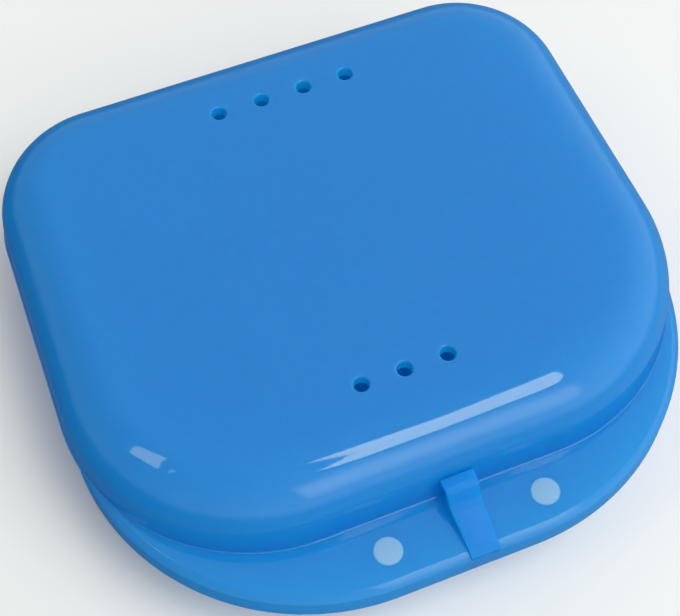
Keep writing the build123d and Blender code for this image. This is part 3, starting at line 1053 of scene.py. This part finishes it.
def add_front_softbox(stage):
    """Glowing panel that fades out towards its edges and faces the case."""
    material, tree = new_material("front_softbox")
    place = add_node(tree, "TexCoord").outputs["Object"]
    parts = add_node(tree, "SeparateXYZ", {"Vector": place})
    fades = []
    for axis, half, plateau in zip("XY", stage.front_half_size, stage.front_plateau):
        size = add_node(tree, "Math", {0: parts.outputs[axis]}, operation="ABSOLUTE").outputs["Value"]
        ends = {"From Min": half, "From Max": half * plateau, "To Min": 0.0, "To Max": 1.0}
        fade = add_node(tree, "MapRange", {"Value": size, **ends}, interpolation_type="SMOOTHSTEP")
        fades.append(fade.outputs["Result"])
    level = multiply(tree, multiply(tree, *fades), stage.front_strength)
    glow = add_node(tree, "Emission", {"Color": to_linear(stage.softbox_colour), "Strength": level})
    clear = add_node(tree, "BsdfTransparent")
    both = add_node(tree, "AddShader", {0: glow.outputs["Emission"], 1: clear.outputs["BSDF"]})
    add_node(tree, "OutputMaterial", {"Surface": both.outputs["Shader"]})
    bm = bmesh.new()
    size = Matrix.Diagonal((*stage.front_half_size, 1, 1))
    bmesh.ops.create_grid(bm, x_segments=1, y_segments=1, size=1, matrix=size)
    panel = solid("front_softbox", bm)
    panel.data.materials.append(material)
    panel.visible_camera = False
    place_lamp(panel, stage.front_azimuth, stage.front_elevation, stage.lamp_height)


def add_key_lamp(stage):
    """Large soft lamp at the front right, which lights the case and lays its shadow to the left."""
    data = bpy.data.lights.new("key_lamp", "AREA")
    data.shape = "DISK"
    data.size = stage.key_size
    data.energy = stage.key_power
    lamp = bpy.data.objects.new("key_lamp", data)
    place_lamp(lamp, stage.key_azimuth, stage.key_elevation, stage.lamp_height)
    lamp.visible_glossy = False
    bpy.context.scene.collection.objects.link(lamp)


def add_camera(stage):
    """Camera above the front left corner."""
    data = bpy.data.cameras.new("camera")
    data.lens = stage.focal_length
    data.sensor_fit = "HORIZONTAL"
    data.shift_x, data.shift_y = stage.camera_shift
    data.clip_start = 0.01
    camera = bpy.data.objects.new("camera", data)
    camera.location = stage.camera_place
    aim = Vector(stage.camera_aim) - Vector(stage.camera_place)
    camera.rotation_euler = aim.to_track_quat("-Z", "Y").to_euler()
    bpy.context.scene.collection.objects.link(camera)
    bpy.context.scene.camera = camera


# Points on the lid's roll that mirror the lamps
FRONT_ROLL = Vector((8 * MM, -30 * MM))
LEFT_ROLL = Vector((-34 * MM, -18 * MM))
# Outlines of the lamps as slopes: how far right and back they are for each unit of height
OVERHEAD_SOFTBOX = [
    (0.105, -0.083), (0.149, -0.322), (0.125, -0.510), (0.180, -0.600), (0.260, -0.600),
    (0.399, -0.450), (0.405, -0.315), (0.327, -0.028), (0.218, -0.168),
]
LEFT_SOFTBOX = [(-1.08, 0.03), (-0.60, 0.155), (-0.32, 0.120), (-0.79, -0.17)]
LEFT_BULB = [
    (-0.564, -0.149), (-0.647, -0.195), (-0.697, -0.212), (-0.685, -0.190),
    (-0.618, -0.143), (-0.535, -0.097), (-0.485, -0.080), (-0.497, -0.101),
]


class DENTURE_OT_stage(CaseOperator, Operator):
    """Add the floor, the lights and the camera"""
    bl_idname = "mesh.denture_case_stage"
    bl_label = "Stage"

    def build(self, scene):
        stage = scene.denture_stage
        add_floor(stage)
        add_room_light(stage)
        panels = [
            ("overhead_softbox", OVERHEAD_SOFTBOX, FRONT_ROLL, stage.overhead_strength),
            ("left_softbox", LEFT_SOFTBOX, LEFT_ROLL, stage.left_strength),
            ("left_bulb", LEFT_BULB, LEFT_ROLL, stage.bulb_strength),
        ]
        for name, outline, over, strength in panels:
            add_lamp_panel(name, outline, stage.lamp_height, over, stage.softbox_colour, strength)
        add_front_softbox(stage)
        add_key_lamp(stage)
        add_camera(stage)
        scene.view_settings.view_transform = "Standard"


# ---- panel and registration ----------------------------------------------------------------------

OPERATORS = (
    DENTURE_OT_lid, DENTURE_OT_tray, DENTURE_OT_strap, DENTURE_OT_pins, DENTURE_OT_discs, DENTURE_OT_stage
)
SETTINGS = {
    "denture_lid": LidSettings,
    "denture_tray": TraySettings,
    "denture_hinge": HingeSettings,
    "denture_strap": StrapSettings,
    "denture_finish": FinishSettings,
    "denture_stage": StageSettings,
}


class DENTURE_PT_case(Panel):
    """Buttons and sizes of the denture case"""
    bl_idname = "DENTURE_PT_case"
    bl_label = "Denture case"
    bl_space_type = "VIEW_3D"
    bl_region_type = "UI"
    bl_category = "Denture case"

    def draw(self, context):
        for operator in OPERATORS:
            self.layout.operator(operator.bl_idname)
        for name, group in SETTINGS.items():
            box = self.layout.box()
            box.label(text=group.__doc__)
            for setting in group.__annotations__:
                label = setting.replace("_", " ").capitalize()
                box.prop(getattr(context.scene, name), setting, text=label)


def register():
    for name, group in SETTINGS.items():
        bpy.utils.register_class(group)
        setattr(bpy.types.Scene, name, PointerProperty(type=group))
    for operator in OPERATORS:
        bpy.utils.register_class(operator)
    bpy.utils.register_class(DENTURE_PT_case)


def unregister():
    bpy.utils.unregister_class(DENTURE_PT_case)
    for operator in reversed(OPERATORS):
        bpy.utils.unregister_class(operator)
    for name, group in SETTINGS.items():
        delattr(bpy.types.Scene, name)
        bpy.utils.unregister_class(group)


def main():
    register()
    for operator in OPERATORS:
        getattr(bpy.ops.mesh, operator.bl_idname.removeprefix("mesh."))()


if __name__ == "__main__":
    main()
